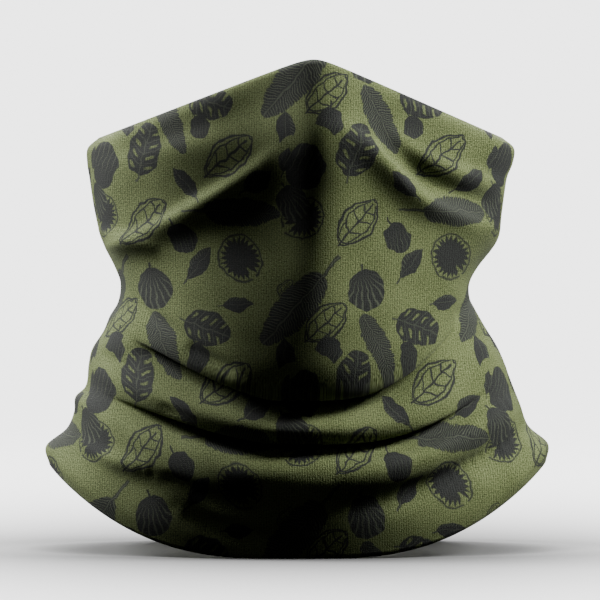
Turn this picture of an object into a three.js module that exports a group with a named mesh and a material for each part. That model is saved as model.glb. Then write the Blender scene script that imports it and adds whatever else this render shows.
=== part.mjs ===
// A tubular neck gaiter in the shape it takes on a wearer: a jersey tube sewn to itself down the centre back,
// open at both ends, with its slack gathered in rolls under the chin. It stands on its hem.
// Millimetres, +Z up, the face towards -Y and the seam towards +Y.
import * as THREE from 'three';

// The cloth, and how finely its solid is divided round the tube and from hem to rim.
const WALL = 1.5;
const COLUMNS = 72;
const ROWS = 40;
const SMALL_TURN = 0.01;

// How a ring climbs from its front or back centre to its sides: level at first, then ever steeper. The rim is level
// only at its peak and slopes evenly from there.
const LEVEL_SHARE = 0.2;
const FOLD_CLIMB = 2.4;
const PEAK_LEVEL_SHARE = 0.05;
const RIM_CLIMB = 1;

// How far round the face the nose lifts the cloth.
const NOSE_SPREAD = 0.24;

// The flat seam at centre back, sewn from just above the hem to just below the rim.
const THREAD_RADIUS = 0.3;
const THREAD_ARC_STEPS = 3;
const THREAD_CLEARANCE = 0.3;
const SEAM_END_GAP = 1.5;
const NEEDLE_GAUGE = 6.4;
const COVER_PITCH = 5;
const STEPS_PER_STITCH = 8;
const STEPS_PER_NEEDLE_THREAD = 60;

// The care label, caught by one upright edge beside the seam.
const LABEL_WIDTH = 22;
const LABEL_HEIGHT = 32;
const LABEL_THICKNESS = 0.5;
const LABEL_BOTTOM = 18;
const LABEL_CURVE_RADIUS = 66;
const LABEL_CLEARANCE = 0.6;
const LABEL_STEPS = 12;
const WALL_SAMPLES = 200;

// Guide rings from hem to rim. Heights are at front, side and back centre; reaches are from the upright axis.
const RINGS = [
  { name: 'hem', front: 0, side: 41, back: 0, frontReach: 88, sideReach: 106, backReach: 86 },
  { name: 'flare', front: 20, side: 49, back: 16, frontReach: 89, sideReach: 98, backReach: 82 },
  { name: 'low roll', front: 35, side: 58, back: 36, frontReach: 90, sideReach: 94, backReach: 81.5 },
  { name: 'low tuck', front: 47, side: 67, back: 54, frontReach: 78, sideReach: 91, backReach: 81 },
  { name: 'middle roll', front: 54, side: 76, back: 68, frontReach: 88, sideReach: 88, backReach: 80 },
  { name: 'chin tuck', front: 66, side: 90, back: 84, frontReach: 74, sideReach: 82.5, backReach: 76 },
  { name: 'pouch lip', front: 75, side: 103, back: 98, frontReach: 89, sideReach: 76, backReach: 74 },
  { name: 'waist', front: 97, side: 114, back: 112, frontReach: 91, sideReach: 74, backReach: 72 },
  { name: 'mouth', front: 128, side: 127, back: 126, frontReach: 88, sideReach: 81, backReach: 77 },
  { name: 'cheek', front: 150, side: 141, back: 140, frontReach: 88, sideReach: 86, backReach: 84, nose: 3 },
  { name: 'nose', front: 172, side: 155, back: 153, frontReach: 88, sideReach: 88, backReach: 90, nose: 11 },
  { name: 'rim', front: 206, side: 174, back: 168, frontReach: 86, sideReach: 90.5, backReach: 93, nose: 8,
    levelShare: PEAK_LEVEL_SHARE, climb: RIM_CLIMB },
];

const BACK = Math.PI;

// Share of a ring's climb from centre to side at an angle round the tube, 0 at the front and back centres.
function climbShare(ring, angle) {
  const level = ring.levelShare ?? LEVEL_SHARE;
  const aside = Math.abs(Math.sin(angle));
  return Math.max(0, (aside - level) / (1 - level)) ** (ring.climb ?? FOLD_CLIMB);
}

// A point of a guide ring: angle 0 is the front centre and a quarter turn is the +X side.
function ringPoint(ring, angle) {
  const forward = Math.cos(angle);
  const centreHeight = forward > 0 ? ring.front : ring.back;
  const reach = forward > 0 ? ring.frontReach : ring.backReach;
  const turnFromFront = Math.atan2(Math.sin(angle), forward);
  const noseLift = (ring.nose ?? 0) * Math.exp(-((turnFromFront / NOSE_SPREAD) ** 2));
  const rise = (ring.side - centreHeight) * climbShare(ring, angle);
  return new THREE.Vector3(
    ring.sideReach * Math.sin(angle),
    -reach * forward - noseLift,
    centreHeight + rise,
  );
}

// The outer face of the cloth from hem to rim at one angle.
function meridian(angle) {
  return new THREE.CatmullRomCurve3(RINGS.map((ring) => ringPoint(ring, angle)));
}

// A point beside the outer face: share runs from 0 at the hem to 1 at the rim, and offset is outwards.
function clothPoint(angle, share, offset) {
  const curve = meridian(angle);
  const point = curve.getPoint(share);
  const up = curve.getTangent(share);
  const before = meridian(angle - SMALL_TURN).getPoint(share);
  const side = meridian(angle + SMALL_TURN).getPoint(share).sub(before);
  const outwards = side.cross(up).normalize();
  return point.addScaledVector(outwards, offset);
}

// A closed mesh from its points and the quads between them, each given anticlockwise from outside.
function closedMesh(name, points, quads, material) {
  const geometry = new THREE.BufferGeometry();
  geometry.setAttribute('position', new THREE.Float32BufferAttribute(points.flatMap((p) => p.toArray()), 3));
  geometry.setIndex(quads.flatMap(([a, b, c, d]) => [a, b, c, a, c, d]));
  geometry.computeVertexNormals();
  const mesh = new THREE.Mesh(geometry, material);
  mesh.name = name;
  return mesh;
}

// The jersey tube: outer and inner faces of one cloth, joined at the hem and at the rim.
function knitTube(material) {
  const points = [];
  for (const offset of [0, -WALL]) {
    for (let row = 0; row <= ROWS; row += 1) {
      for (let column = 0; column < COLUMNS; column += 1) {
        const angle = (column / COLUMNS) * 2 * Math.PI;
        points.push(clothPoint(angle, row / ROWS, offset));
      }
    }
  }
  levelEnds(points);
  const at = (layer, row, column) => (layer * (ROWS + 1) + row) * COLUMNS + (column % COLUMNS);
  const quads = [];
  for (let column = 0; column < COLUMNS; column += 1) {
    const next = column + 1;
    for (let row = 0; row < ROWS; row += 1) {
      quads.push([at(0, row, column), at(0, row, next), at(0, row + 1, next), at(0, row + 1, column)]);
      quads.push([at(1, row, next), at(1, row, column), at(1, row + 1, column), at(1, row + 1, next)]);
    }
    quads.push([at(1, 0, column), at(1, 0, next), at(0, 0, next), at(0, 0, column)]);
    quads.push([at(0, ROWS, column), at(0, ROWS, next), at(1, ROWS, next), at(1, ROWS, column)]);
  }
  return closedMesh('knit_tube', points, quads, material);
}

// The cut edges at hem and rim are level across the cloth, so the hem has a true flat to stand on.
function levelEnds(points) {
  const layer = (ROWS + 1) * COLUMNS;
  for (let column = 0; column < COLUMNS; column += 1) {
    for (const row of [0, ROWS]) {
      const outer = row * COLUMNS + column;
      points[layer + outer].z = points[outer].z;
    }
  }
}

// A curve that follows the centre-back seam at a sideways place and an outward offset, wandering by wave.
class SeamCurve extends THREE.Curve {
  constructor(sideways, offset, wave) {
    super();
    Object.assign(this, { sideways, offset, wave });
    this.path = meridian(BACK);
    this.sewn = this.path.getLength() - 2 * SEAM_END_GAP;
    this.stitches = Math.round(this.sewn / COVER_PITCH);
  }

  getPoint(share) {
    const along = SEAM_END_GAP + share * this.sewn;
    const place = this.path.getUtoTmapping(along / this.path.getLength());
    const point = clothPoint(BACK, place, this.offset);
    point.x += this.sideways + this.wave * Math.sin(share * this.stitches * 2 * Math.PI);
    return point;
  }
}

// One sewing thread of the seam, a tube along its curve.
function seamThread(name, sideways, offset, wave, material) {
  const curve = new SeamCurve(sideways, offset, wave);
  const steps = wave > 0 ? curve.stitches * STEPS_PER_STITCH : STEPS_PER_NEEDLE_THREAD;
  const section = new THREE.Shape();
  section.absarc(0, 0, THREAD_RADIUS, 0, 2 * Math.PI);
  const settings = { steps, extrudePath: curve, curveSegments: THREAD_ARC_STEPS };
  const mesh = new THREE.Mesh(new THREE.ExtrudeGeometry(section, settings), material);
  mesh.name = name;
  return mesh;
}

// The nearest that the cloth's inner face comes to the upright axis at centre back, between two heights.
function innerBackReach(bottom, top) {
  let reach = Infinity;
  for (let step = 0; step <= WALL_SAMPLES; step += 1) {
    const point = clothPoint(BACK, step / WALL_SAMPLES, -WALL);
    if (point.z > bottom && point.z < top) {
      reach = Math.min(reach, point.y);
    }
  }
  return reach;
}

// The label: a thin upright leaf that starts beside the seam's inner thread and bends with the wall.
function careLabel(material) {
  const edgeX = NEEDLE_GAUGE / 2 + THREAD_RADIUS + THREAD_CLEARANCE;
  const edgeY = innerBackReach(LABEL_BOTTOM, LABEL_BOTTOM + LABEL_HEIGHT) - LABEL_CLEARANCE;
  const outline = new THREE.Shape();
  const bend = LABEL_WIDTH / LABEL_CURVE_RADIUS;
  const along = (radius, step) => {
    const turn = (step / LABEL_STEPS) * bend;
    return [edgeX + radius * Math.sin(turn), edgeY - LABEL_CURVE_RADIUS + radius * Math.cos(turn)];
  };
  outline.moveTo(...along(LABEL_CURVE_RADIUS, 0));
  for (let step = 1; step <= LABEL_STEPS; step += 1) {
    outline.lineTo(...along(LABEL_CURVE_RADIUS, step));
  }
  for (let step = LABEL_STEPS; step >= 0; step -= 1) {
    outline.lineTo(...along(LABEL_CURVE_RADIUS - LABEL_THICKNESS, step));
  }
  const settings = { depth: LABEL_HEIGHT, bevelEnabled: false };
  const mesh = new THREE.Mesh(new THREE.ExtrudeGeometry(outline, settings), material);
  mesh.name = 'care_label';
  mesh.position.z = LABEL_BOTTOM;
  return mesh;
}

const jersey = new THREE.MeshStandardMaterial({ color: 0x6c7644, roughness: 0.85, metalness: 0 });
const thread = new THREE.MeshStandardMaterial({ color: 0x3c4226, roughness: 0.6, metalness: 0 });
const satin = new THREE.MeshStandardMaterial({ color: 0xe6e4dc, roughness: 0.4, metalness: 0 });

const outside = THREAD_CLEARANCE + THREAD_RADIUS;
const coverWave = NEEDLE_GAUGE / 2 - 2 * THREAD_RADIUS - THREAD_CLEARANCE;

const gaiter = new THREE.Group();
gaiter.add(knitTube(jersey));
gaiter.add(seamThread('seam_needle_thread_left', NEEDLE_GAUGE / 2, outside, 0, thread));
gaiter.add(seamThread('seam_needle_thread_right', -NEEDLE_GAUGE / 2, outside, 0, thread));
gaiter.add(seamThread('seam_cover_thread', 0, outside, coverWave, thread));
gaiter.add(seamThread('seam_inner_thread', 0, -WALL - outside, coverWave, thread));
gaiter.add(careLabel(satin));

// The origin goes under the middle of the whole gaiter, on the surface that the hem rests on.
const extent = new THREE.Box3().setFromObject(gaiter);
gaiter.position.y = -extent.getCenter(new THREE.Vector3()).y;

export default gaiter;
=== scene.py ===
"""A printed neck gaiter in its worn shape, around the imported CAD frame. Metres, +Z up, face towards -Y."""
import math

import bpy
import numpy as np
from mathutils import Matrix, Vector


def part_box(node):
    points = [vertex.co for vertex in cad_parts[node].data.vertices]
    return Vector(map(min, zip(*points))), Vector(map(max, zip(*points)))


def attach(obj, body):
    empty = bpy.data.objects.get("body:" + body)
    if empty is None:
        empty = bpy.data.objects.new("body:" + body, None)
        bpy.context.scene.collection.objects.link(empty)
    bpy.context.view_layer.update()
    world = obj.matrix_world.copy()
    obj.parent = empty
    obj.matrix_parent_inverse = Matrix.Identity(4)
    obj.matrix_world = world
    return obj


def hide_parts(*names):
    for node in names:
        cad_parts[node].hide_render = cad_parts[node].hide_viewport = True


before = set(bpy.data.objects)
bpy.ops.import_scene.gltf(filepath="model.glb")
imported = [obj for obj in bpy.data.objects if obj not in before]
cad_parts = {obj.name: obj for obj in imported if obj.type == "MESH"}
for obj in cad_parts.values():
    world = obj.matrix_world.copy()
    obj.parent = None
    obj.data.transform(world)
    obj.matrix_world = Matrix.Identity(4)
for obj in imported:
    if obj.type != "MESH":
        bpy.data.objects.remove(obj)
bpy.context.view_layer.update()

# ---------------------------------------------------------------- sizes
# The shape is written in design millimetres; MM turns one of them into metres in the frame's size.
LOW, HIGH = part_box("knit_tube")
DESIGN_HEIGHT = 206
DESIGN_BACK_REACH = 93
MM = (HIGH.z - LOW.z) / DESIGN_HEIGHT
AXIS_Y = HIGH.y / MM - DESIGN_BACK_REACH
MM_PER_METRE = 1000

# The cloth: its thickness and how finely it is divided.
CLOTH_THICKNESS = 0.8
FRONT_COLUMNS = 210
BACK_COLUMNS = 96
ROWS = 150
RING_STEPS = 10
FOLD_STEPS = 12

# The flat seam at centre back. Its needle stitches arch up by a lift from a depth in the cloth, and the
# threads looped between them lean over and ripple.
NEEDLE_GAUGE = 6.4
NEEDLE_STITCH = 2.5
NEEDLE_POINTS = 8
NEEDLE_LIFT = 0.75
NEEDLE_DEPTH = 0.55
NEEDLE_FULLNESS = 0.45
COVER_STITCH = 5.0
LOOP_POINTS = 20
LOOP_LEAN = 0.7
COVER_LIFT = 0.3
COVER_RIPPLE = 0.12
INNER_LIFT = 0.2
INNER_RIPPLE = 0.08
THREAD_RADIUS = 0.21
THREAD_ROUNDNESS = 2
SEAM_END_GAP = 1.5
SEAM_SWELL = 0.5

# The care label, a ribbon folded double: its thickness, half the gap inside the fold, the radius that it
# bends to, how far its edge curls, how finely it is divided, and its gaps to the CAD label's face, hinge and
# end.
LABEL_RIBBON = 0.12
LABEL_LOOP = 0.19
LABEL_BEND = 66
LABEL_CURL = 0.9
LABEL_COLUMNS = 30
LABEL_ROWS = 36
LABEL_FOLD_POINTS = 7
LABEL_HINGE_DEPTH = 0.25
LABEL_HINGE_GAP = 0.1
LABEL_END_GAP = 0.3

# The label's margin, caught in the seam: sideways and outward places from the hinge.
LABEL_MARGIN = [(-0.1, 0), (-0.9, 0.7), (-2.4, 1.9)]

# ---------------------------------------------------------------- shape of the cloth
# How a ring climbs from its front or back centre to its sides: level at first, then ever steeper.
LEVEL_SHARE = 0.12
FOLD_CLIMB = 2.5

# Away from the front centre the tucks come out towards the reach of the rolls beside them, and grow shallow.
ROLL_REACH = 87
TUCK_FADE = 2

# The rim's peak, a little off centre, as shares of its reach.
PEAK_SHIFT = 0.08
PEAK_ROUND = 0.06

# Where the ridge over the nose is and how far round the face it spreads, in radians.
NOSE_TURN = 0.13
NOSE_SPREAD = 0.24

# Guide rings from hem to rim. Heights and reaches go front, left, right, back. Then come how far the nose
# lifts the ring, and how late it climbs to the left: folds that rise early there have a smaller number.
RINGS = [
    ("hem", (0, 36, 37, 0), (80, 104.5, 104.5, 86), 0, 2.5),
    ("hem edge", (7, 43, 44, 7), (82, 106, 105.5, 85), 0, 2.5),
    ("flare", (20, 51, 52, 18), (86, 97, 97, 82.5), 0, 2.5),
    ("low roll", (33, 58, 61, 33), (92, 94, 93.5, 82), 0, 2.5),
    ("low roll top", (41, 64, 70, 44), (88, 93.5, 90, 81.5), 0, 1.8),
    ("low tuck", (50, 68, 74, 50), (58, 89.5, 88.5, 80.5), 0, 1.35),
    ("middle lip", (47.5, 71, 77, 54), (84, 88.5, 87.5, 80.5), 0, 1.35),
    ("middle roll", (53, 77, 85, 61), (89, 88, 84, 80.5), 0, 1.35),
    ("middle roll top", (58, 84, 94, 69), (84, 86.5, 78.5, 79), 0, 1.35),
    ("chin tuck", (73, 92, 102, 78), (52, 81.5, 74, 75.5), 0, 1.35),
    ("pouch lip", (65.5, 98, 105, 85), (85, 79, 72.5, 76), 0, 1.35),
    ("pouch roll", (74, 104, 110.5, 93), (91, 75.5, 72, 75), 1, 1.6),
    ("pouch", (92, 112, 114, 104), (91, 74.5, 73, 72.5), 3.5, 2.0),
    ("waist", (112, 118, 119, 115), (88, 76.5, 76, 73), 5.5, 2.5),
    ("mouth", (132, 131, 130, 128), (83, 82.5, 84, 79), 9, 2.5),
    ("cheek", (150, 143, 142, 141), (82.5, 85.5, 86, 85), 10, 2.5),
    ("nose", (172, 156, 156, 154), (83.5, 87.5, 88, 90), 13, 2.5),
    ("rim base", (192, 162.5, 162.5, 160), (80, 88.5, 90.5, 92.5), 11, 2.5),
    ("rim turn", (203, 168.5, 168.5, 165), (78, 88.3, 91, 93), 8.5, 2.5),
    ("rim", (206, 173, 173, 168), (77, 83.5, 86, 93), 8, 2.5),
]

# Local folds on the front: (rise, width above, width below, points from one end to the other as x, height).
FOLDS = [
    (3.6, 3, 7, [(-84, 124), (-72, 130), (-60, 135), (-39, 147), (-22, 158), (-8, 168)]),
    (2.4, 2.4, 5, [(-88, 134), (-76, 133), (-66, 131), (-56, 127)]),
    (4.4, 2.6, 6, [(17, 179), (26, 173), (36, 163), (52, 148), (66, 141), (86, 134)]),
    (-2.4, 4, 4, [(30, 180), (42, 168), (54, 157), (70, 149), (86, 144)]),
    (2.6, 3, 6, [(36, 176), (48, 168), (62, 161), (76, 156), (90, 151)]),
    (-1.5, 2.4, 3, [(-66, 106), (-60, 100), (-53, 95), (-45, 90)]),
    (-3, 2.8, 3, [(-47, 89), (-36, 82), (-25, 76)]),
    (-1.5, 2.8, 3.4, [(66, 98), (71, 102), (76, 107)]),
    (2.0, 2.6, 5, [(-80, 90), (-68, 85), (-56, 77), (-44, 71)]),
    (-3.0, 2.4, 3, [(-84, 84), (-70, 79), (-58, 72)]),
    (3.0, 2.6, 5, [(84, 88), (72, 84), (60, 77), (50, 71)]),
    (-2, 2.4, 2.6, [(-58, 64), (-48, 57), (-38, 52)]),
    (3.2, 3, 7, [(24, 41), (43, 48), (60, 54), (92, 64)]),
    (-4.0, 4.5, 5, [(18, 22), (38, 25), (58, 31), (98, 51)]),
    (3.2, 4, 6, [(14, 31), (34, 37), (54, 45), (95, 62)]),
    (-3.4, 4, 5, [(-48, 22), (-30, 12), (-4, 6)]),
    (-3.0, 3, 4, [(-58, 35), (-38, 26), (-18, 21)]),
    (2.6, 3, 5, [(-92, 46), (-76, 40), (-60, 37)]),
]

# How a fold dies away: at its ends, where the cloth stops facing outwards, and towards the sides.
FOLD_ENDS = (0.02, 0.98)
FOLD_TAPER = 0.6
FACING_OUT = 0.7
FACING_GAIN = 4
FRONT_GAIN = 3

# The print is spaced by each row's own reach in front and by one reach at the back seam, and goes from one to
# the other past a turn from the front, in radians. It is closest together where the cloth turns away at the
# cheeks.
BACK_PRINT_REACH = 90
PRINT_BLEND_START = 1.1
PRINT_BLEND_SPAN = 1.7
SQUEEZE = 0.42
SQUEEZE_TURN = 1.13
SQUEEZE_SPREAD = 0.44
TURN_SAMPLES = 400

# ---------------------------------------------------------------- looks
# The knit: how far apart its wales and courses are, their relief beside the nap's, and its grain.
WALE = 1.05
COURSE = 0.8
COURSE_SWAY = 1.2
WALE_RELIEF = 0.06
COURSE_RELIEF = 0.04
NAP_SCALE = 1.6
KNIT_DEPTH = 0.25
GRAIN = 2.1
GRAIN_LEVEL = 0.45
CLOUD_SCALE = 0.05
CLOUD_SHADE = 0.3

# The print's colours, how much of the cloth its ink covers, and the streaks that break up its drawn lines.
GROUND_DARK = (0.040, 0.056, 0.010)
GROUND_LIGHT = (0.265, 0.315, 0.132)
INK_DARK = (0.009, 0.010, 0.010)
INK_LIGHT = (0.036, 0.038, 0.038)
LINE = (0.120, 0.138, 0.090)
INK_COVER = 0.97
STREAK_SCALE = 0.9
STREAK_EDGE = 0.3
STREAK_BLUR = 0.3

# The cloth's unprinted inner face.
REVERSE_DARK = (0.42, 0.44, 0.35)
REVERSE_LIGHT = (0.60, 0.62, 0.52)
REVERSE_LEVEL = 0.5

# How far leaf outlines wander, in millimetres, and how quickly.
WANDER = 2.6
WANDER_SCALE = 0.22

# The thread's plies, in radians for each millimetre across and up, their relief beside the fuzz's, the bump's
# depth, and the gain and level that turn relief into shade.
PLY_ACROSS = 4
PLY_UP = 9
PLY_RELIEF = 0.35
FUZZ_SCALE = 900
THREAD_DEPTH = 0.06
THREAD_SHADE = (0.6, 0.1)
THREAD_DARK = (0.035, 0.042, 0.020)
THREAD_LIGHT = (0.120, 0.135, 0.070)

# The label's yarns and the slant that binds them, in radians for each millimetre, its slubs, and the rest as
# for the thread.
YARNS_UP = 22
BINDING_ACROSS = 9
BINDING_UP = 14
YARN_RELIEF = 0.3
BINDING_RELIEF = 0.2
SLUB_RELIEF = 0.6
SLUB_SCALE = 700
SATIN_DEPTH = 0.05
SATIN_SHADE = (0.5, 0.3)
SATIN_DARK = (0.50, 0.49, 0.46)
SATIN_LIGHT = (0.78, 0.77, 0.74)

# What all the textiles share.
TEXTILE_SPECULAR = 0.25
SHEEN_ROUGHNESS = 0.4

# The studio: floor, backdrop, painted shade near the gaiter and a painted pool of shadow under it. Metres.
FLOOR_REACH = 30
PAPER = (0.12, 0.12, 0.12)
PAPER_ROUGHNESS = 0.9
BACKDROP_GLOW = 3.6
SHADE_REACH = 0.5
SHADE_DEPTH = 4
SHADOW_POOL_REACH = (0.2, 0.4)
SHADOW_POOL_DEPTH = 0.72

# Lamps: name, place, size and power. All of them point at one place.
LAMP_TARGET = (0, 0, 0.1)
LAMPS = [
    ("left", (-0.8, 0.2, 0.65), (0.35, 0.35), 19),
    ("right", (0.8, -0.1, 0.7), (0.35, 0.35), 18),
    ("top", (0, 0.2, 1.0), (0.4, 0.4), 3),
    ("front", (-0.2, -1.6, 0.5), (0.6, 0.6), 0.5),
    ("back", (0, 1.0, 0.6), (0.8, 0.5), 10),
]

CAMERA_TARGET = (0.001, 0, 0.1048)
CAMERA_DISTANCE = 4
CAMERA_ELEVATION = 1.5
LENS = 571
SENSOR_WIDTH = 36


# ---------------------------------------------------------------- cloth shape
def climb_share(angle, left_climb):
    """Share of a fold's climb from centre to side at each angle, 0 at the front and back centres."""
    aside = np.abs(np.sin(angle))
    front_left = (np.sin(angle) < 0) & (np.cos(angle) > 0)
    climb = np.where(front_left, left_climb, FOLD_CLIMB)
    return np.maximum(0, (aside - LEVEL_SHARE) / (1 - LEVEL_SHARE)) ** climb


def slope_share(angle):
    """The same for the rim, which slopes evenly from a rounded peak a little off centre."""
    across = np.sin(angle) - PEAK_SHIFT
    aside = across / (1 - PEAK_SHIFT * np.sign(across))
    return (np.hypot(aside, PEAK_ROUND) - PEAK_ROUND) / (math.hypot(1, PEAK_ROUND) - PEAK_ROUND)


def ring_points(ring, angle):
    """Points of a guide ring: angle 0 is the front, and positive angles are towards +X."""
    name, heights, reaches, nose, left_climb = ring
    forward = np.cos(angle)
    aside = np.sin(angle)
    in_front = forward > 0
    centre_height = np.where(in_front, heights[0], heights[3])
    side_height = np.where(aside < 0, heights[1], heights[2])
    fade = np.abs(forward) ** TUCK_FADE if name.endswith("tuck") else 1
    front_reach = ROLL_REACH + (reaches[0] - ROLL_REACH) * fade
    reach = np.where(in_front, front_reach, reaches[3])
    side_reach = np.where(aside < 0, reaches[1], reaches[2])
    nose_lift = nose * np.exp(-(((angle - NOSE_TURN) / NOSE_SPREAD) ** 2))
    share = slope_share(angle) if name.startswith("rim") else climb_share(angle, left_climb)
    height = centre_height + (side_height - centre_height) * share
    return np.stack([side_reach * aside, -reach * forward - nose_lift, height], axis=-1)


def spline(knots, steps):
    """Centripetal Catmull-Rom spline down the first axis of knots."""
    first = 2 * knots[:1] - knots[1:2]
    last = 2 * knots[-1:] - knots[-2:-1]
    p = np.concatenate([first, knots, last])
    gaps = np.sqrt(np.linalg.norm(np.diff(p, axis=0), axis=-1, keepdims=True)) + 1e-6
    t = np.concatenate([np.zeros_like(gaps[:1]), np.cumsum(gaps, axis=0)])
    pieces = []
    for k in range(1, len(p) - 2):
        for step in range(steps):
            s = t[k] + (t[k + 1] - t[k]) * step / steps
            a1 = ((t[k] - s) * p[k - 1] + (s - t[k - 1]) * p[k]) / (t[k] - t[k - 1])
            a2 = ((t[k + 1] - s) * p[k] + (s - t[k]) * p[k + 1]) / (t[k + 1] - t[k])
            a3 = ((t[k + 2] - s) * p[k + 1] + (s - t[k + 1]) * p[k + 2]) / (t[k + 2] - t[k + 1])
            b1 = ((t[k + 1] - s) * a1 + (s - t[k - 1]) * a2) / (t[k + 1] - t[k - 1])
            b2 = ((t[k + 2] - s) * a2 + (s - t[k]) * a3) / (t[k + 2] - t[k])
            pieces.append(((t[k + 1] - s) * b1 + (s - t[k]) * b2) / (t[k + 1] - t[k]))
    pieces.append(p[-2])
    return np.stack(pieces)


def column_angles():
    """Angles round the tube, closer together in front, starting at the back seam."""
    front = np.linspace(-math.pi / 2, math.pi / 2, FRONT_COLUMNS, endpoint=False)
    back = np.linspace(math.pi / 2, 3 * math.pi / 2, BACK_COLUMNS, endpoint=False)
    angles = np.concatenate([front, back])
    angles = (angles + math.pi) % (2 * math.pi) - math.pi
    return np.sort(angles)


def even_rows(dense):
    """Re-spaces each meridian into ROWS equal steps along the cloth."""
    steps = np.linalg.norm(np.diff(dense[..., :3], axis=0), axis=-1)
    along = np.concatenate([np.zeros((1, dense.shape[1])), np.cumsum(steps, axis=0)])
    result = np.empty((ROWS + 1, dense.shape[1], dense.shape[2]))
    for column in range(dense.shape[1]):
        wanted = np.linspace(0, along[-1, column], ROWS + 1)
        for axis in range(dense.shape[2]):
            result[:, column, axis] = np.interp(wanted, along[:, column], dense[:, column, axis])
    return result


def grid_normals(grid):
    """Outward normals of a grid that closes on itself round its columns."""
    around = np.roll(grid, -1, axis=1) - np.roll(grid, 1, axis=1)
    up = np.gradient(grid, axis=0)
    normal = np.cross(around, up)
    return normal / np.linalg.norm(normal, axis=-1, keepdims=True)


def in_sight(grid, normals, angles):
    """1 where the cloth faces out of the front, falling to 0 inside the tucks and round the sides."""
    outward = np.sum(normals[..., :2] * grid[..., :2], axis=-1) / np.hypot(grid[..., 0], grid[..., 1])
    facing = np.clip((outward - FACING_OUT) * FACING_GAIN, 0, 1)
    return facing * np.clip(np.cos(angles) * FRONT_GAIN, 0, 1)


def fold_rise(grid, weight):
    """How far the local folds push each point out, times its weight."""
    total = np.zeros(grid.shape[:2])
    for rise, above_width, below_width, points in FOLDS:
        line = spline(np.array(points, float), FOLD_STEPS)
        nearest = np.full(grid.shape[:2], np.inf)
        signed = np.zeros(grid.shape[:2])
        share = np.zeros(grid.shape[:2])
        for index, (x, z) in enumerate(line):
            distance = np.hypot(grid[..., 0] - x, grid[..., 2] - z)
            closer = distance < nearest
            nearest = np.where(closer, distance, nearest)
            signed = np.where(closer, grid[..., 2] - z, signed)
            share = np.where(closer, index / (len(line) - 1), share)
        width = np.where(signed > 0, above_width, below_width)
        taper = np.sin(np.pi * np.clip(share, *FOLD_ENDS)) ** FOLD_TAPER
        total += rise * taper * np.exp(-((nearest / width) ** 2)) * weight
    return total


def cloth_grid():
    """The outer face in design millimetres, rows from hem to rim and columns from the back seam.

    With it come the columns' angles, and each point's print height and sideways reach.
    """
    angles = column_angles()
    knots = np.stack([ring_points(ring, angles) for ring in RINGS])
    print_height = np.maximum.accumulate(knots[..., 2], axis=0)
    reach = np.stack([np.full(len(angles), (ring[2][1] + ring[2][2]) / 2) for ring in RINGS])
    with_print = np.concatenate([knots, print_height[..., None], reach[..., None]], axis=-1)
    rows = even_rows(spline(with_print, RING_STEPS))
    grid = rows[..., :3]
    normals = grid_normals(grid)
    grid = grid + normals * fold_rise(grid, in_sight(grid, normals, angles))[..., None]
    swell = SEAM_SWELL * np.exp(-((grid[..., 0] / NEEDLE_GAUGE) ** 4)) * (grid[..., 1] > 0)
    grid[..., 1] += AXIS_Y + swell
    return grid, angles, rows[..., 3], rows[..., 4]


def print_reach(angle, reach):
    """The reach that spaces the print: each row's own in front, and one for all rows at the back seam."""
    share = np.clip((np.abs(angle) - PRINT_BLEND_START) / PRINT_BLEND_SPAN, 0, 1)
    share = share * share * (3 - 2 * share)
    return reach + (BACK_PRINT_REACH - reach) * share


def print_turn(angle):
    """Distance round the print for each angle, in units of the tube's half-width."""
    turns = np.linspace(0, math.pi, TURN_SAMPLES)
    slope = 1 - SQUEEZE * np.exp(-(((turns - SQUEEZE_TURN) / SQUEEZE_SPREAD) ** 2))
    total = np.concatenate([[0], np.cumsum((slope[1:] + slope[:-1]) / 2 * np.diff(turns))])
    return np.sign(angle) * np.interp(np.abs(angle), turns, total)


def cloth_corners(rows, columns):
    """The four corners of every face of the tube, as (row, column), where the last column meets the first."""
    for row in range(rows - 1):
        for column in range(columns):
            following = (column + 1) % columns
            yield (row, column), (row, following), (row + 1, following), (row + 1, column)


def print_places(angles, print_height, reach):
    """Where each face corner lies on the flat print, in metres, one after another."""
    around = print_turn(angles)[None, :] * print_reach(angles[None, :], reach)
    closing = print_turn(math.pi) * BACK_PRINT_REACH
    rows, columns = print_height.shape
    places = []
    for corners in cloth_corners(rows, columns):
        closes = corners[0][1] == columns - 1
        for row, column in corners:
            turn = closing if closes and column == 0 else around[row, column]
            places.extend((turn / MM_PER_METRE, print_height[row, column] / MM_PER_METRE))
    return places


def new_piece(name, vertices, faces):
    """A smooth-shaded mesh object in the scene."""
    mesh = bpy.data.meshes.new(name)
    mesh.from_pydata(vertices, [], faces)
    mesh.shade_smooth()
    piece = bpy.data.objects.new(name, mesh)
    bpy.context.scene.collection.objects.link(piece)
    return piece


def thicken(piece, thickness, offset):
    """Gives a sheet its thickness in millimetres: offset -1 is all inwards, and 0 is half each way."""
    solid = piece.modifiers.new("thickness", "SOLIDIFY")
    solid.thickness = thickness * MM
    solid.offset = offset
    return solid


def build_cloth(grid, angles, print_height, reach):
    """The jersey tube, printed outside and plain inside and on its cut edges."""
    rows, columns = grid.shape[:2]
    faces = [
        tuple(row * columns + column for row, column in corners)
        for corners in cloth_corners(rows, columns)
    ]
    piece = new_piece("printed_jersey", (grid * MM).reshape(-1, 3).tolist(), faces)
    layer = piece.data.uv_layers.new(name="Print")
    layer.uv.foreach_set("vector", print_places(angles, print_height, reach))
    solid = thicken(piece, CLOTH_THICKNESS, -1)
    solid.material_offset = 1
    solid.material_offset_rim = 1
    return piece


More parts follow.
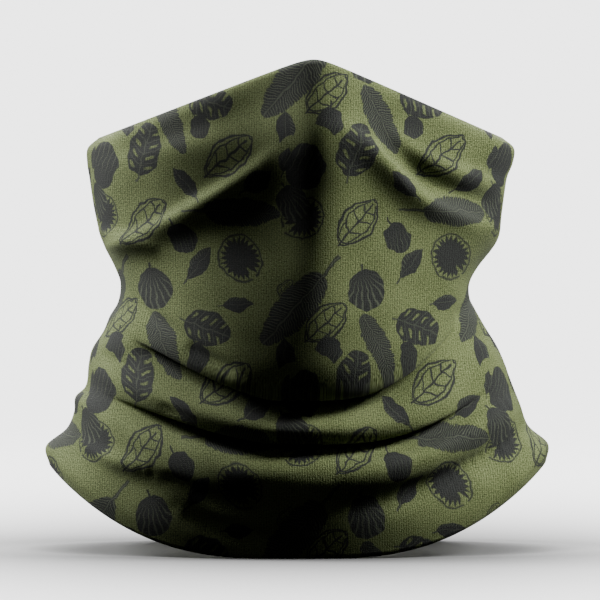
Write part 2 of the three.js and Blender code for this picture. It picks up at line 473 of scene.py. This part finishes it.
# ---------------------------------------------------------------- seam threads and care label
class Seam:
    """The line up the centre back, which places things along it, across it and above the cloth."""

    def __init__(self, line):
        steps = np.linalg.norm(np.diff(line, axis=0), axis=-1)
        self.line = line
        self.along = np.concatenate([[0], np.cumsum(steps)])
        way = np.gradient(line, axis=0)
        outward = np.stack([np.zeros(len(line)), way[:, 2], -way[:, 1]], axis=-1)
        self.outward = outward / np.linalg.norm(outward, axis=-1, keepdims=True)

    def sample(self, values, along):
        return np.stack([np.interp(along, self.along, values[:, axis]) for axis in range(3)], axis=-1)

    def points(self, along, across, above):
        """Points in design millimetres, where across and above may vary from point to point."""
        lifted = self.sample(self.outward, along) * np.asarray(above)[..., None]
        points = self.sample(self.line, along) + lifted
        points[:, 0] += across
        return points

    def stitches(self, pitch, points_each):
        """Distances along the seam for whole stitches, and how many stitches each is from the hem."""
        room = self.along[-1] - 2 * SEAM_END_GAP
        count = round(room / pitch)
        turns = np.linspace(0, count, count * points_each + 1)
        return SEAM_END_GAP + turns / count * room, turns


def make_thread(name, points, replaced):
    """A round thread swept through points, standing for one CAD thread."""
    curve = bpy.data.curves.new(name, "CURVE")
    curve.dimensions = "3D"
    path = curve.splines.new("POLY")
    path.points.add(len(points) - 1)
    for spot, point in zip(path.points, points * MM):
        spot.co = (*point, 1)
    curve.bevel_depth = THREAD_RADIUS * MM
    curve.bevel_resolution = THREAD_ROUNDNESS
    curve.use_fill_caps = True
    swept = bpy.data.objects.new(name + "_path", curve)
    mesh = bpy.data.meshes.new_from_object(swept)
    bpy.data.objects.remove(swept)
    mesh.shade_smooth()
    thread = bpy.data.objects.new(name, mesh)
    bpy.context.scene.collection.objects.link(thread)
    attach(thread, "tube")
    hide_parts(replaced)
    return thread


def sew_seam(seam):
    """Two straight rows of needle stitches, with a thread looped between them on each side of the cloth."""
    threads = []
    along, turn = seam.stitches(NEEDLE_STITCH, NEEDLE_POINTS)
    arch = np.abs(np.sin(np.pi * turn)) ** NEEDLE_FULLNESS
    for side, name in ((-1, "left"), (1, "right")):
        points = seam.points(along, side * NEEDLE_GAUGE / 2, arch * NEEDLE_LIFT - NEEDLE_DEPTH)
        threads.append(make_thread(f"needle_stitches_{name}", points, f"seam_needle_thread_{name}"))
    along, turn = seam.stitches(COVER_STITCH, LOOP_POINTS)
    swing = 2 * np.pi * turn
    ripple = np.cos(2 * swing)
    loops = along + LOOP_LEAN * np.sin(2 * swing)
    across = NEEDLE_GAUGE / 2 * np.sin(swing)
    outside = seam.points(loops, across, COVER_LIFT + COVER_RIPPLE * ripple)
    inside = seam.points(loops, across, -CLOTH_THICKNESS - INNER_LIFT - INNER_RIPPLE * ripple)
    threads.append(make_thread("cover_stitches", outside, "seam_cover_thread"))
    threads.append(make_thread("inner_loops", inside, "seam_inner_thread"))
    return threads


def ribbon(name, path, heights, curl):
    """A thin upright strip along a plan path in millimetres, with its length and height as UVs."""
    steps = np.linalg.norm(np.diff(path, axis=0), axis=-1)
    length = np.concatenate([[0], np.cumsum(steps)])
    vertices = []
    for share, z in zip(np.linspace(0, 1, len(heights)), heights):
        lean = curl * math.sin(math.pi * share)
        vertices.extend((x * MM, (y - lean * (x - path[0, 0]) ** 2) * MM, z * MM) for x, y in path)
    width = len(path)
    faces = []
    places = []
    for row in range(len(heights) - 1):
        for column in range(width - 1):
            low = row * width + column
            faces.append((low, low + 1, low + width + 1, low + width))
            for r, c in ((row, column), (row, column + 1), (row + 1, column + 1), (row + 1, column)):
                places.extend((length[c] / MM_PER_METRE, heights[r] / MM_PER_METRE))
    piece = new_piece(name, vertices, faces)
    piece.data.uv_layers.new(name="Weave").uv.foreach_set("vector", places)
    thicken(piece, LABEL_RIBBON, 0)
    return piece


def make_label():
    """A care label of ribbon folded double, looped at its free edge, and its margin caught in the seam."""
    low, high = (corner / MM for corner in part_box("care_label"))
    heights = np.linspace(low.z, high.z, LABEL_ROWS)
    hinge_y = high.y - LABEL_HINGE_DEPTH
    end = high.x - low.x - LABEL_LOOP - LABEL_END_GAP
    reach = np.linspace(LABEL_HINGE_GAP, end, LABEL_COLUMNS)
    middle = np.stack([low.x + reach, hinge_y - reach**2 / (2 * LABEL_BEND)], axis=-1)
    outer = middle + np.array([0, LABEL_LOOP])
    inner = middle - np.array([0, LABEL_LOOP])
    turn = np.linspace(math.pi / 2, -math.pi / 2, LABEL_FOLD_POINTS)[1:-1]
    fold = middle[-1] + LABEL_LOOP * np.stack([np.cos(turn), np.sin(turn)], axis=-1)
    loop = np.concatenate([outer, fold, inner[::-1]])
    label = ribbon("care_label_ribbon", loop, heights, LABEL_CURL / (high.x - low.x) ** 2)
    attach(label, "label")
    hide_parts("care_label")
    caught = np.array([(low.x + sideways, hinge_y + outwards) for sideways, outwards in LABEL_MARGIN])
    margin = ribbon("label_seam_margin", caught, heights, 0)
    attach(margin, "tube")
    return label, margin


# ---------------------------------------------------------------- fields: arithmetic on shader nodes
# A Mix node has its sockets side by side for each type: first end, second end and result.
MIX_VECTOR = (4, 5, 1)
MIX_COLOUR = (6, 7, 2)


def put(tree, socket, value):
    """Links an input to another node's output, or sets it to a constant."""
    if isinstance(value, bpy.types.NodeSocket):
        tree.links.new(value, socket)
    else:
        socket.default_value = value


def vector_math(tree, operation, *values):
    """A Vector Math node, whose inputs are other nodes' outputs or constants."""
    node = tree.nodes.new("ShaderNodeVectorMath")
    node.operation = operation
    for slot, value in enumerate(values):
        put(tree, node.inputs[slot], value)
    return node


class Field:
    """A number that varies over a surface: the output of a shader node, with arithmetic."""

    def __init__(self, tree, socket):
        self.tree = tree
        self.socket = socket

    def combine(self, operation, *others, clamp=False):
        node = self.tree.nodes.new("ShaderNodeMath")
        node.operation = operation
        node.use_clamp = clamp
        for slot, value in enumerate((self,) + others):
            put(self.tree, node.inputs[slot], value.socket if isinstance(value, Field) else value)
        return Field(self.tree, node.outputs[0])

    def __add__(self, other):
        return self.combine("ADD", other)

    def __sub__(self, other):
        return self.combine("SUBTRACT", other)

    def __rsub__(self, other):
        return self.combine("MULTIPLY_ADD", -1, other)

    def __mul__(self, other):
        return self.combine("MULTIPLY", other)

    __radd__ = __add__
    __rmul__ = __mul__

    def __pow__(self, other):
        return self.combine("POWER", other)

    def __abs__(self):
        return self.combine("ABSOLUTE")

    def either(self, other):
        return self.combine("MAXIMUM", other)

    def both(self, other):
        return self.combine("MINIMUM", other)

    def wave(self):
        return self.combine("SINE")

    def scaled(self, gain, level):
        """The field times gain plus level, kept between 0 and 1."""
        return self.combine("MULTIPLY_ADD", gain, level, clamp=True)

    def beside_whole(self):
        """Distance to the nearest whole number."""
        return abs(self - self.combine("ROUND"))


def below(field, edge, blur):
    """1 where field is under edge and 0 above it, with a soft step blur wide."""
    return (edge - field).scaled(1 / blur, 0.5)


def above(field, edge, blur):
    """1 where field is over edge and 0 under it, with a soft step blur wide."""
    return (field - edge).scaled(1 / blur, 0.5)


def between(field, low, high, blur):
    return above(field, low, blur).both(below(field, high, blur))


def circle(field):
    """Half-width of a unit circle at a place along its axis."""
    return (1 - field * field).either(0).combine("SQRT")


def components(tree, vector):
    """A vector's three components."""
    node = tree.nodes.new("ShaderNodeSeparateXYZ")
    tree.links.new(vector, node.inputs[0])
    return [Field(tree, node.outputs[axis]) for axis in range(3)]


# ---------------------------------------------------------------- printed leaves
# Each takes a leaf's own coordinates, from -1 at its base to 1 at its tip and from -1 to 1 across, and then
# its stalk's length. It returns how much ink there is, and how much of that ink is a pale drawn line. The
# numbers in them are shares of half a leaf or of full ink, and how often veins and ribs come.
EDGE = 0.07
TIP_EDGE = 0.02
STALK_ROOT = -0.85


def blade(along, across, half_width):
    """The filled outline of a leaf."""
    return below(abs(across), half_width, EDGE) * below(abs(along), 1, TIP_EDGE)


def stalk_of(along, across, stalk, half_width):
    inside = between(along, stalk * -1 - 1, STALK_ROOT, 0.05)
    return inside.both(below(abs(across), half_width, EDGE))


def feather(along, across, stalk):
    """A long leaf with notches in its edge and a comb of fine lines."""
    aside = abs(across)
    veins = (along * 7.5 - aside * 1.7).beside_whole()
    half_width = (1 - along * along).either(0) ** 0.5 * (1 - along * 0.16)
    notched = half_width * (1 - below(veins, 0.09, 0.08) * 0.13)
    leaf = blade(along, across, notched)
    comb = (along * 15 - aside * 3.4).beside_whole()
    lines = below(comb, 0.16, 0.16) * above(aside, 0.1, 0.1) * 0.65
    rib = below(aside, 0.04, 0.05) * 0.55
    return leaf.either(stalk_of(along, across, stalk, 0.1)), lines.either(rib)


def monstera(along, across, stalk):
    """A wavy oval with open slots between its veins."""
    aside = abs(across)
    half_width = circle(along) * (1 - along * 0.1) + (along * 9).wave() * 0.03
    veins = (along * 2.3 - aside * 0.9).beside_whole()
    slots = below(veins, 0.13, 0.07) * between(aside, 0.26, 0.7, 0.12) * below(abs(along), 0.74, 0.1)
    leaf = blade(along, across, half_width) * (1 - slots * 0.85)
    fine = (along * 2.3 - aside * 0.9 + 0.5).beside_whole()
    lines = below(fine, 0.04, 0.05) * 0.35
    rib = below(aside, 0.03, 0.05) * 0.4
    return leaf.either(stalk_of(along, across, stalk, 0.05)), lines.either(rib)


def shell(along, across, stalk):
    """A round leaf with ribs that fan out from its base."""
    half_width = circle(along * 0.98) * (1 + along * 0.06)
    leaf = blade(along, across, half_width)
    turn = across.combine("ARCTAN2", along + 1.12)
    ribs = (turn * 4.6).beside_whole()
    lines = below(ribs, 0.12, 0.14) * above(along, -0.5, 0.9) * 0.6
    return leaf.either(stalk_of(along, across, stalk, 0.06)), lines


def disc(along, across, stalk):
    """A small lumpy leaf with a few scratched lines."""
    lumpy = circle(along) + (along * 6 + 0.6).wave() * 0.06
    leaf = blade(along, across, lumpy)
    scratch = (across * 3.2 + along * 1.1).beside_whole()
    lines = below(scratch, 0.06, 0.08) * above(along, -0.2, 0.8) * 0.55
    return leaf.either(stalk_of(along, across, stalk, 0.08)), lines


def pointed(along, across, stalk):
    """A plain leaf, pointed at both ends and fringed down one side."""
    aside = abs(across)
    half_width = (1 - along * along).either(0) * (1 - along * 0.12)
    leaf = blade(along, across, half_width)
    comb = (along * 6 - aside * 2).beside_whole()
    fringe = below(comb, 0.14, 0.14) * above(across, half_width * 0.55, 0.15) * 0.55
    rib = below(aside, 0.035, 0.05) * 0.35
    return leaf.either(stalk_of(along, across, stalk, 0.09)), fringe.either(rib)


def lily(along, across, stalk):
    """A lily pad: a toothed heart and a rim, joined by threads and cut by one narrow notch."""
    radius = (along * along + across * across).combine("SQRT")
    turn = across.combine("ARCTAN2", along)
    ribs = (turn * 3.6).beside_whole()
    pad = below(radius, 1, EDGE) * (1 - below(abs(turn), 0.1, 0.06) * above(radius, 0.45, 0.1))
    heart = below(radius, ribs * -0.55 + 0.93, 0.1)
    rim = above(radius, 0.92, EDGE)
    threads = below(ribs, 0.06, 0.08) * 0.6
    return pad * heart.either(rim).either(threads), rim * 0


def sprig(along, across, stalk):
    """A leaf that is only drawn in outline, with an inner outline, veins and a rib."""
    aside = abs(across)
    half_width = (1 - along * along).either(0) ** 0.8
    outline = below(abs(aside - half_width), 0.075, 0.06) * below(abs(along), 1.02, TIP_EDGE)
    inner = below(abs(aside - half_width * 0.72), 0.05, 0.05) * below(abs(along), 0.86, TIP_EDGE)
    veins = below((along * 2.2 - aside * 0.7).beside_whole(), 0.07, 0.06)
    veins = veins * below(aside, half_width * 0.7, 0.05)
    rib = below(aside, 0.06, 0.05) * between(along, stalk * -1 - 1, 0.8, 0.04)
    return outline.either(inner).either(veins).either(rib), rib * 0


LEAVES = {
    "feather": feather,
    "monstera": monstera,
    "shell": shell,
    "disc": disc,
    "pointed": pointed,
    "lily": lily,
    "sprig": sprig,
}

# The repeat of the print in millimetres, and its leaves: kind, place of the centre across and up, turn in
# degrees from base to tip, length, width, and the stalk's length as a share of half the leaf.
REPEAT = (91, 94)
PRINT = [
    ("feather", 35, 181, -62, 32, 10, 0),
    ("monstera", 53, 189, -18, 21, 15, 0.25),
    ("disc", 49, 178, -65, 10, 8.5, 0.5),
    ("sprig", 62, 166, 38, 25, 14, 0.1),
    ("pointed", 86, 177, -88, 16, 8, 0.3),
    ("pointed", 75, 156, 35, 14, 8.5, 0.4),
    ("pointed", 86, 165, 75, 11, 5, 0.3),
    ("monstera", 24, 169, 76, 22, 15, 0.3),
    ("disc", 13, 180, -95, 12.5, 11, 0.5),
    ("pointed", 43, 155, 133, 16, 7, 0.35),
    ("feather", 68, 143, -2, 31, 12, 0.65),
    ("sprig", 25, 139, 48, 24, 13.5, 0.1),
    ("disc", 42, 132, -62, 13, 11.5, 0.5),
    ("pointed", 49, 122, 52, 16, 8, 0.4),
    ("lily", 67, 124, -52, 21, 18, 0),
    ("shell", 29, 111, -75, 17, 16, 0.3),
    ("pointed", 66, 105, 3, 13.5, 6.5, 0.25),
    ("feather", -2, 103, -131, 38, 15, 0.55),
    ("sprig", 12, 98, 42, 22, 13, 0.1),
    ("lily", 2, 141, 215, 19, 17, 0),
    ("disc", 3, 162, 80, 19, 17, 0.2),
    ("shell", 89, 147, -60, 15, 13, 0.3),
    ("sprig", 86, 112, 50, 9, 5, 0.1),
]

# How far from its centre a leaf can show, in halves of the leaf, and a place outside every leaf.
LEAF_REACH = 1.9
NO_LEAF = (9, 9, 0)


def leaf_place(tree, cloth, motif):
    """The coordinates of one printed leaf, repeated over the cloth."""
    _, x, y, turn, length, width, stalk = motif
    half = (REPEAT[0] / 2, REPEAT[1] / 2, 1)
    minus_half = (-REPEAT[0] / 2, -REPEAT[1] / 2, -1)
    shift = vector_math(tree, "SUBTRACT", cloth, (x, y, 0))
    wrap = vector_math(tree, "WRAP", shift.outputs[0], half, minus_half)
    place = tree.nodes.new("ShaderNodeMapping")
    place.vector_type = "TEXTURE"
    tree.links.new(wrap.outputs[0], place.inputs["Vector"])
    place.inputs["Location"].default_value = (0, 0, -stalk)
    place.inputs["Rotation"].default_value = (0, 0, math.radians(turn))
    place.inputs["Scale"].default_value = (length / 2, width / 2, 1)
    return place.outputs[0]


def choose_leaf(tree, cloth, kind):
    """The coordinates of whichever leaf of a kind a point is in, or of a point outside all of them."""
    first, second, result = MIX_VECTOR
    chosen = NO_LEAF
    for motif in PRINT:
        if motif[0] != kind:
            continue
        place = leaf_place(tree, cloth, motif)
        size = vector_math(tree, "LENGTH", place)
        inside = Field(tree, size.outputs["Value"]).combine("LESS_THAN", LEAF_REACH)
        mix = tree.nodes.new("ShaderNodeMix")
        mix.data_type = "VECTOR"
        put(tree, mix.inputs["Factor"], inside.socket)
        put(tree, mix.inputs[first], chosen)
        put(tree, mix.inputs[second], place)
        chosen = mix.outputs[result]
    return components(tree, chosen)


# ---------------------------------------------------------------- textiles
# How many finer layers a noise has.
SMOOTH = 1.0
PLAIN = 2.0
ROUGH = 3.0


def noise(tree, place, scale, detail):
    node = tree.nodes.new("ShaderNodeTexNoise")
    tree.links.new(place, node.inputs["Vector"])
    node.inputs["Scale"].default_value = scale
    node.inputs["Detail"].default_value = detail
    return node


def speckle(tree, place, scale, detail):
    return Field(tree, noise(tree, place, scale, detail).outputs["Fac"])


def cloth_place(tree):
    """The flat cloth's coordinates in millimetres, as a socket and as two fields."""
    flat = tree.nodes.new("ShaderNodeUVMap")
    flat.uv_map = "Print"
    grow = vector_math(tree, "SCALE", flat.outputs[0])
    grow.inputs["Scale"].default_value = MM_PER_METRE
    across, up, _ = components(tree, grow.outputs[0])
    return grow.outputs[0], across, up


def hand_drawn(tree, place):
    """The same coordinates, wandering a little, so that no outline is ruled."""
    wander = noise(tree, place, WANDER_SCALE, SMOOTH).outputs["Color"]
    shift = (-WANDER / 2, -WANDER / 2, 0)
    centred = vector_math(tree, "MULTIPLY_ADD", wander, (WANDER, WANDER, 0), shift)
    return vector_math(tree, "ADD", place, centred.outputs[0]).outputs[0]


def mix_colour(tree, factor, low, high):
    """A colour from low to high by factor, where each end is a colour or another node's output."""
    first, second, result = MIX_COLOUR
    node = tree.nodes.new("ShaderNodeMix")
    node.data_type = "RGBA"
    put(tree, node.inputs["Factor"], factor.socket)
    for slot, colour in ((first, low), (second, high)):
        put(tree, node.inputs[slot], (*colour, 1) if isinstance(colour, tuple) else colour)
    return node.outputs[result]


def new_material(name, roughness, sheen):
    material = bpy.data.materials.new(name)
    material.use_nodes = True
    shader = material.node_tree.nodes["Principled BSDF"]
    shader.inputs["Roughness"].default_value = roughness
    shader.inputs["Specular IOR Level"].default_value = TEXTILE_SPECULAR
    shader.inputs["Sheen Weight"].default_value = sheen
    shader.inputs["Sheen Roughness"].default_value = SHEEN_ROUGHNESS
    return material, material.node_tree, shader


def lay_surface(tree, shader, colour, height, depth):
    """Gives a shader its colour, and a bump that is depth millimetres high."""
    tree.links.new(colour, shader.inputs["Base Color"])
    bump = tree.nodes.new("ShaderNodeBump")
    bump.inputs["Strength"].default_value = 1
    bump.inputs["Distance"].default_value = depth * MM
    tree.links.new(height.socket, bump.inputs["Height"])
    tree.links.new(bump.outputs[0], shader.inputs["Normal"])


def knit_height(tree, place, across, along):
    """Fine upright wales crossed by courses, broken up by a brushed nap."""
    wales = (across * (2 * math.pi / WALE)).wave()
    courses = (along * (2 * math.pi / COURSE) + wales * COURSE_SWAY).wave()
    return wales * WALE_RELIEF + courses * COURSE_RELIEF + speckle(tree, place, NAP_SCALE, ROUGH)


def printed_leaves(tree, place):
    """How much ink there is at each point of the cloth, and how much of that ink is a pale drawn line."""
    drawn = hand_drawn(tree, place)
    ink = None
    pale = None
    for kind, draw in LEAVES.items():
        leaf, lines = draw(*choose_leaf(tree, drawn, kind))
        ink = leaf if ink is None else ink.either(leaf)
        pale = lines * leaf if pale is None else pale.either(lines * leaf)
    streaks = speckle(tree, drawn, STREAK_SCALE, PLAIN)
    return ink, pale * above(streaks, STREAK_EDGE, STREAK_BLUR)


def jersey_face():
    """The printed outer face: speckled green knit under dark leaves with pale lines."""
    material, tree, shader = new_material("printed_jersey_face", roughness=0.85, sheen=0.06)
    place, across, along = cloth_place(tree)
    ink, pale = printed_leaves(tree, place)
    height = knit_height(tree, place, across, along)
    clouds = speckle(tree, place, CLOUD_SCALE, PLAIN) * CLOUD_SHADE
    grain = (height - 0.5 + clouds - CLOUD_SHADE / 2).scaled(GRAIN, GRAIN_LEVEL)
    ground = mix_colour(tree, grain, GROUND_DARK, GROUND_LIGHT)
    printed = mix_colour(tree, grain, INK_DARK, INK_LIGHT)
    leaves = mix_colour(tree, pale, printed, LINE)
    lay_surface(tree, shader, mix_colour(tree, ink * INK_COVER, ground, leaves), height, KNIT_DEPTH)
    return material


def jersey_reverse():
    """The plain pale inner face of the same knit."""
    material, tree, shader = new_material("jersey_reverse", roughness=0.9, sheen=0.1)
    place, across, along = cloth_place(tree)
    height = knit_height(tree, place, across, along)
    grain = (height - 0.5).scaled(GRAIN, REVERSE_LEVEL)
    lay_surface(tree, shader, mix_colour(tree, grain, REVERSE_DARK, REVERSE_LIGHT), height, KNIT_DEPTH)
    return material


def twisted_thread():
    """Two-ply polyester thread, its plies showing as slanting ridges."""
    material, tree, shader = new_material("twisted_thread", roughness=0.5, sheen=0.3)
    where = tree.nodes.new("ShaderNodeTexCoord").outputs["Object"]
    x, y, z = (part * MM_PER_METRE for part in components(tree, where))
    plies = ((x + y) * PLY_ACROSS + z * PLY_UP).wave()
    height = plies * PLY_RELIEF + speckle(tree, where, FUZZ_SCALE, ROUGH)
    shade = height.scaled(*THREAD_SHADE)
    lay_surface(tree, shader, mix_colour(tree, shade, THREAD_DARK, THREAD_LIGHT), height, THREAD_DEPTH)
    return material


def label_satin():
    """White polyester satin: long floating yarns, bound down in slanting steps."""
    material, tree, shader = new_material("label_satin", roughness=0.38, sheen=0.25)
    flat = tree.nodes.new("ShaderNodeUVMap")
    flat.uv_map = "Weave"
    across, up, _ = (part * MM_PER_METRE for part in components(tree, flat.outputs[0]))
    yarns = (up * YARNS_UP).wave()
    binding = (across * BINDING_ACROSS + up * BINDING_UP).wave()
    slubs = speckle(tree, flat.outputs[0], SLUB_SCALE, PLAIN)
    height = yarns * YARN_RELIEF + binding * BINDING_RELIEF + slubs * SLUB_RELIEF
    shade = height.scaled(*SATIN_SHADE)
    lay_surface(tree, shader, mix_colour(tree, shade, SATIN_DARK, SATIN_LIGHT), height, SATIN_DEPTH)
    return material


# ---------------------------------------------------------------- stage
def add_lamp(name, place, size, power):
    """A soft rectangular lamp that points at the gaiter."""
    lamp = bpy.data.lights.new(name, "AREA")
    lamp.shape = "RECTANGLE"
    lamp.size, lamp.size_y = size
    lamp.energy = power
    holder = bpy.data.objects.new(name, lamp)
    holder.location = place
    holder.rotation_euler = (Vector(LAMP_TARGET) - Vector(place)).to_track_quat("-Z", "Y").to_euler()
    bpy.context.scene.collection.objects.link(holder)


def make_camera():
    """A distant camera a little above level, in front of the gaiter."""
    camera = bpy.data.cameras.new("camera")
    holder = bpy.data.objects.new("camera", camera)
    bpy.context.scene.collection.objects.link(holder)
    bpy.context.scene.camera = holder
    camera.lens = LENS
    camera.sensor_width = SENSOR_WIDTH
    elevation = math.radians(CAMERA_ELEVATION)
    target = Vector(CAMERA_TARGET)
    holder.location = target + Vector((0, -math.cos(elevation), math.sin(elevation))) * CAMERA_DISTANCE
    holder.rotation_euler = (target - holder.location).to_track_quat("-Z", "Y").to_euler()


def studio_paper_painted_shadow():
    """Paper that glows as brightly as the backdrop, less so where shadow is painted into its glow: near the
    gaiter, and in a pool of soft shadow round it.
    """
    material = bpy.data.materials.new("studio_paper_painted_shadow")
    material.use_nodes = True
    tree = material.node_tree
    shader = tree.nodes["Principled BSDF"]
    shader.inputs["Base Color"].default_value = (*PAPER, 1)
    shader.inputs["Roughness"].default_value = PAPER_ROUGHNESS
    shader.inputs["Emission Color"].default_value = (1, 1, 1, 1)
    # Painted contact shadow: the glow dims where the gaiter hides the floor's open sky.
    shade = tree.nodes.new("ShaderNodeAmbientOcclusion")
    shade.inputs["Distance"].default_value = SHADE_REACH
    open_sky = Field(tree, shade.outputs["AO"]) ** SHADE_DEPTH
    # Painted pool of shadow: the glow dims in a soft ellipse round the gaiter, longer front to back.
    where = tree.nodes.new("ShaderNodeNewGeometry").outputs["Position"]
    stretch = vector_math(tree, "DIVIDE", where, (*SHADOW_POOL_REACH, 1)).outputs[0]
    spread = vector_math(tree, "DOT_PRODUCT", stretch, stretch).outputs["Value"]
    pool = (Field(tree, spread) * -1).combine("EXPONENT") * SHADOW_POOL_DEPTH
    strength = open_sky * (1 - pool) * BACKDROP_GLOW
    tree.links.new(strength.socket, shader.inputs["Emission Strength"])
    return material


def make_floor():
    """A broad sheet of paper that is seen but throws no light on the gaiter."""
    mesh = bpy.data.meshes.new("floor")
    corners = [(x * FLOOR_REACH, y * FLOOR_REACH, 0) for x, y in ((-1, -1), (1, -1), (1, 1), (-1, 1))]
    mesh.from_pydata(corners, [], [(0, 1, 2, 3)])
    mesh.materials.append(studio_paper_painted_shadow())
    floor = bpy.data.objects.new("floor", mesh)
    bpy.context.scene.collection.objects.link(floor)
    floor.visible_diffuse = False
    floor.visible_glossy = False


def make_backdrop():
    """A bright surround that is seen but throws no light, so that only the lamps light the gaiter."""
    world = bpy.data.worlds.new("backdrop")
    bpy.context.scene.world = world
    world.use_nodes = True
    surround = world.node_tree.nodes["Background"]
    surround.inputs["Color"].default_value = (1, 1, 1, 1)
    surround.inputs["Strength"].default_value = BACKDROP_GLOW
    world.cycles_visibility.diffuse = False
    world.cycles_visibility.glossy = False


make_camera()
grid, angles, print_height, reach = cloth_grid()
cloth = build_cloth(grid, angles, print_height, reach)
cloth.data.materials.append(jersey_face())
cloth.data.materials.append(jersey_reverse())
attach(cloth, "tube")
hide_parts("knit_tube")
thread_material = twisted_thread()
for sewn in sew_seam(Seam(grid[:, 0])):
    sewn.data.materials.append(thread_material)
satin = label_satin()
for ribbon_piece in make_label():
    ribbon_piece.data.materials.append(satin)
make_floor()
make_backdrop()
for lamp_settings in LAMPS:
    add_lamp(*lamp_settings)
